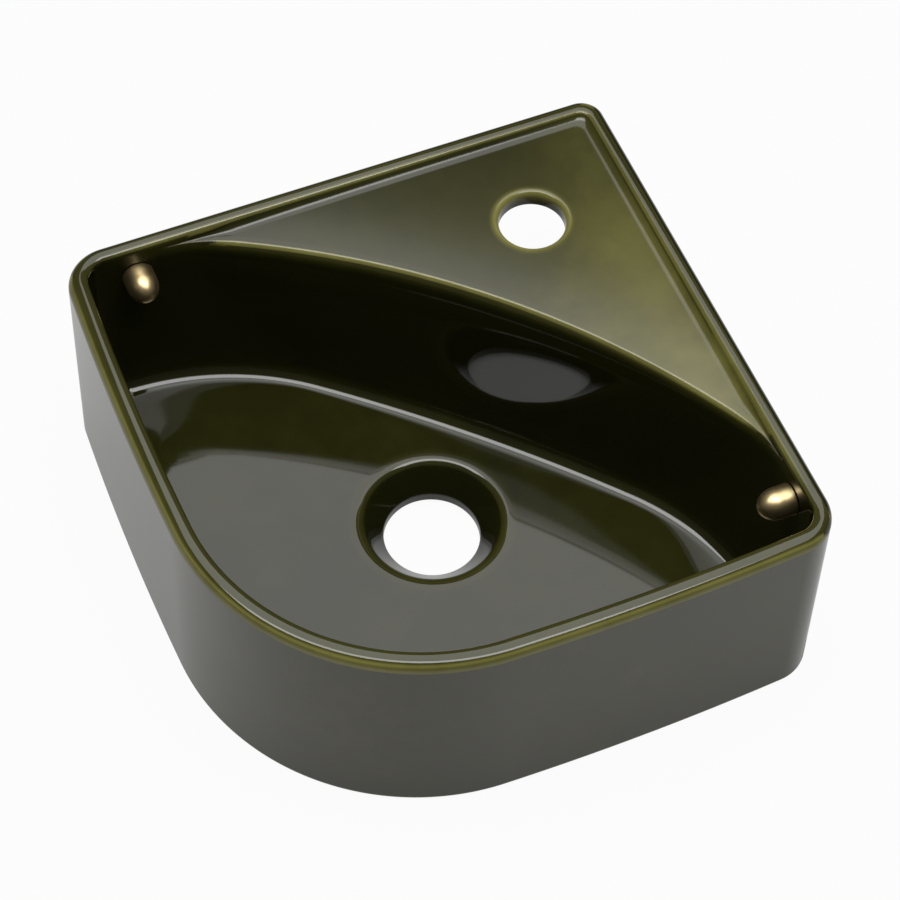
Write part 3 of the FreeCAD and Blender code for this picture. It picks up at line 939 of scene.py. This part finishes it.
def olive_glaze():
    recipe = Recipe(bpy.data.materials.new("olive_glaze"))
    place = recipe.node("ShaderNodeTexCoord").out("Object")
    thin = recipe.attribute("thin")
    bare = recipe.attribute("bare")
    deck = recipe.attribute("deck")
    cloud = recipe.noise(place, 14, 4, 0.55)
    mottle = recipe.noise(place, 60, 5, 0.6)
    grain = recipe.noise(place, 900, 3, 0.6)
    # the darkest stops of this ramp carry the painted shade of the bowl wall and the floor's fillet, the
    # light ones the gold of thinly glazed edges
    depth = thin * (0.62 + 0.5 * cloud + 0.26 * mottle)
    glaze = recipe.ramp(depth, [
        (0.0, (0.005, 0.0056, 0.002)), (0.25, (0.014, 0.0145, 0.003)), (0.5, (0.055, 0.053, 0.011)),
        (0.75, (0.145, 0.137, 0.032)), (1.0, (0.25, 0.235, 0.065))])
    clay = recipe.ramp(0.7 * mottle + 0.3 * grain, [(0.3, (0.62, 0.56, 0.47)), (0.7, (0.74, 0.69, 0.61))])
    edge = bare + 0.5 * (recipe.noise(place, 45, 3, 0.5) - 0.5)
    mask = recipe.node("ShaderNodeMapRange", {"interpolation_type": "SMOOTHSTEP"},
                       {"Value": edge, "From Min": 0.46, "From Max": 0.54})
    colour = recipe.node("ShaderNodeMix", {"data_type": "RGBA"}, {0: mask, 6: glaze, 7: clay}).out(2)
    roughness = 0.04 + 0.02 * mottle + 0.13 * deck + 0.78 * mask
    swell = recipe.noise(place, 32, 1, 0.4)
    peel = recipe.noise(place, 420, 2, 0.5)
    height = (1 - mask) * (0.02 * swell + 0.0008 * peel) + mask * (0.05 * grain)
    return finish_material(recipe, colour, roughness, recipe.bump(height, 1.0, MM), IOR=1.56)


def brass(name, dark, light, roughness):
    recipe = Recipe(bpy.data.materials.new(name))
    place = recipe.node("ShaderNodeTexCoord").out("Object")
    along = recipe.attribute("along")
    lines = recipe.node("ShaderNodeTexNoise", {"noise_dimensions": "1D"},
                        {"W": along, "Scale": 7.0, "Detail": 4.0})
    cloud = recipe.noise(place, 180, 4, 0.6)
    colour = recipe.ramp(0.5 * lines + 0.5 * cloud, [(0.3, dark), (0.7, light)])
    rough = roughness + 0.1 * lines + 0.06 * cloud
    return finish_material(recipe, colour, rough, recipe.bump(lines, 0.5, 0.01 * MM), Metallic=1.0)


def moulded(name, dark, light, roughness, scale):
    recipe = Recipe(bpy.data.materials.new(name))
    place = recipe.node("ShaderNodeTexCoord").out("Object")
    cloud = recipe.noise(place, scale, 4, 0.6)
    grain = recipe.noise(place, 8 * scale, 2, 0.5)
    colour = recipe.ramp(cloud, [(0.3, dark), (0.7, light)])
    return finish_material(recipe, colour, roughness + 0.2 * cloud, recipe.bump(grain, 0.4, 0.03 * MM))


def dress(piece, material, node, rides):
    piece.data.materials.clear()
    piece.data.materials.append(material)
    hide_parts(node)
    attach(piece, rides)


dress(body, olive_glaze(), "basin_body", "basin")
cap_brass = brass("satin_brass", (0.7, 0.52, 0.25), (0.86, 0.69, 0.38), 0.3)
nut_brass = brass("turned_brass", (0.55, 0.4, 0.18), (0.74, 0.57, 0.3), 0.26)
rubber = moulded("black_rubber", (0.012, 0.012, 0.012), (0.03, 0.029, 0.028), 0.5, 250)
nylon = moulded("natural_nylon", (0.78, 0.76, 0.7), (0.86, 0.85, 0.8), 0.35, 120)
for side in SEATS:
    cap, seal, bush, nut = make_cap(side), make_seal(side), make_bush(side), make_nut(side)
    for piece in (cap, seal, bush, nut):
        smooth(piece)
    dress(cap, cap_brass, side + "_cap", side + "_cap")
    dress(seal, rubber, side + "_cap_seal", side + "_seal")
    dress(bush, nylon, side + "_bush", "basin")
    dress(nut, nut_brass, side + "_sleeve_nut", "basin")


# Floor, light and camera
WHITE = (1, 1, 1, 1)
FLOOR_GREY = (0.62, 0.62, 0.62, 1)
SEEN_GLOW, MIRRORED_GLOW = 0.95, 0.35
SKY_STRENGTH = 0.06
TOWARDS_CORNER = Vector((0.589, 0.809, 0)).normalized()

# Lamps in metres: name, width, depth, far edge, height and radiance
LAMPS = [("softbox", 1.5, 1.5, 1.05, 1.5, 2.05), ("overhead", 1.5, 0.43, 0.08, 1.48, 4.5)]

CAMERA_ANGLES = (-24.8451, 55.0503, 2.4431)
CAMERA_PLACE = Vector((-394.8, -866.9, 1442.5))
CAMERA_LENS = 130.73


def make_floor():
    bpy.ops.object.select_all(action="DESELECT")
    bpy.ops.mesh.primitive_plane_add(size=40)
    floor = bpy.context.object
    floor.name = "floor"
    recipe = Recipe(bpy.data.materials.new("pale_floor"))
    path = recipe.node("ShaderNodeLightPath")
    mirrored = recipe.node("ShaderNodeMath", {"operation": "MAXIMUM"},
                           {0: path.out("Is Glossy Ray"), 1: path.out("Is Transmission Ray")})
    seen = SEEN_GLOW * path.out("Is Camera Ray") + MIRRORED_GLOW * mirrored
    matt = recipe.node("ShaderNodeBsdfDiffuse", {}, {"Color": FLOOR_GREY})
    glow = recipe.node("ShaderNodeEmission", {}, {"Color": WHITE, "Strength": 1.0})
    whitened = recipe.node("ShaderNodeMixShader", {}, {0: seen, 1: matt, 2: glow})
    recipe.node("ShaderNodeOutputMaterial", {}, {"Surface": whitened})
    floor.data.materials.append(recipe.owner)


def make_light():
    world = bpy.data.worlds.new("studio")
    bpy.context.scene.world = world
    recipe = Recipe(world)
    path = recipe.node("ShaderNodeLightPath")
    sky = recipe.node("ShaderNodeBackground", {}, {"Color": WHITE, "Strength": SKY_STRENGTH})
    white = recipe.node("ShaderNodeBackground", {}, {"Color": WHITE, "Strength": 1.0})
    mixed = recipe.node("ShaderNodeMixShader", {}, {0: path.out("Is Camera Ray"), 1: sky, 2: white})
    recipe.node("ShaderNodeOutputWorld", {}, {"Surface": mixed})
    sideways = Vector((TOWARDS_CORNER.y, -TOWARDS_CORNER.x, 0))
    for name, width, depth, far_edge, height, radiance in LAMPS:
        bpy.ops.object.light_add(type="AREA")
        lamp = bpy.context.object
        lamp.name = name
        lamp.data.shape = "RECTANGLE"
        lamp.data.size = width
        lamp.data.size_y = depth
        lamp.data.energy = radiance * math.pi * width * depth
        lamp.matrix_world = Matrix((sideways, TOWARDS_CORNER, UP)).transposed().to_4x4()
        lamp.location = TOWARDS_CORNER * (far_edge - depth / 2) + UP * height
        lamp.visible_camera = False


def make_camera():
    turn, lift, roll = (math.radians(angle) for angle in CAMERA_ANGLES)
    back = Vector((math.sin(turn) * math.cos(lift), -math.cos(turn) * math.cos(lift), math.sin(lift)))
    right = Vector((math.cos(turn), math.sin(turn), 0))
    up = back.cross(right)
    across = right * math.cos(roll) + up * math.sin(roll)
    upward = up * math.cos(roll) - right * math.sin(roll)
    bpy.ops.object.camera_add()
    camera = bpy.context.object
    camera.matrix_world = Matrix((across, upward, back)).transposed().to_4x4()
    camera.location = CAMERA_PLACE * MM
    camera.data.sensor_width = 36
    camera.data.lens = CAMERA_LENS
    bpy.context.scene.camera = camera


make_floor()
make_light()
make_camera()
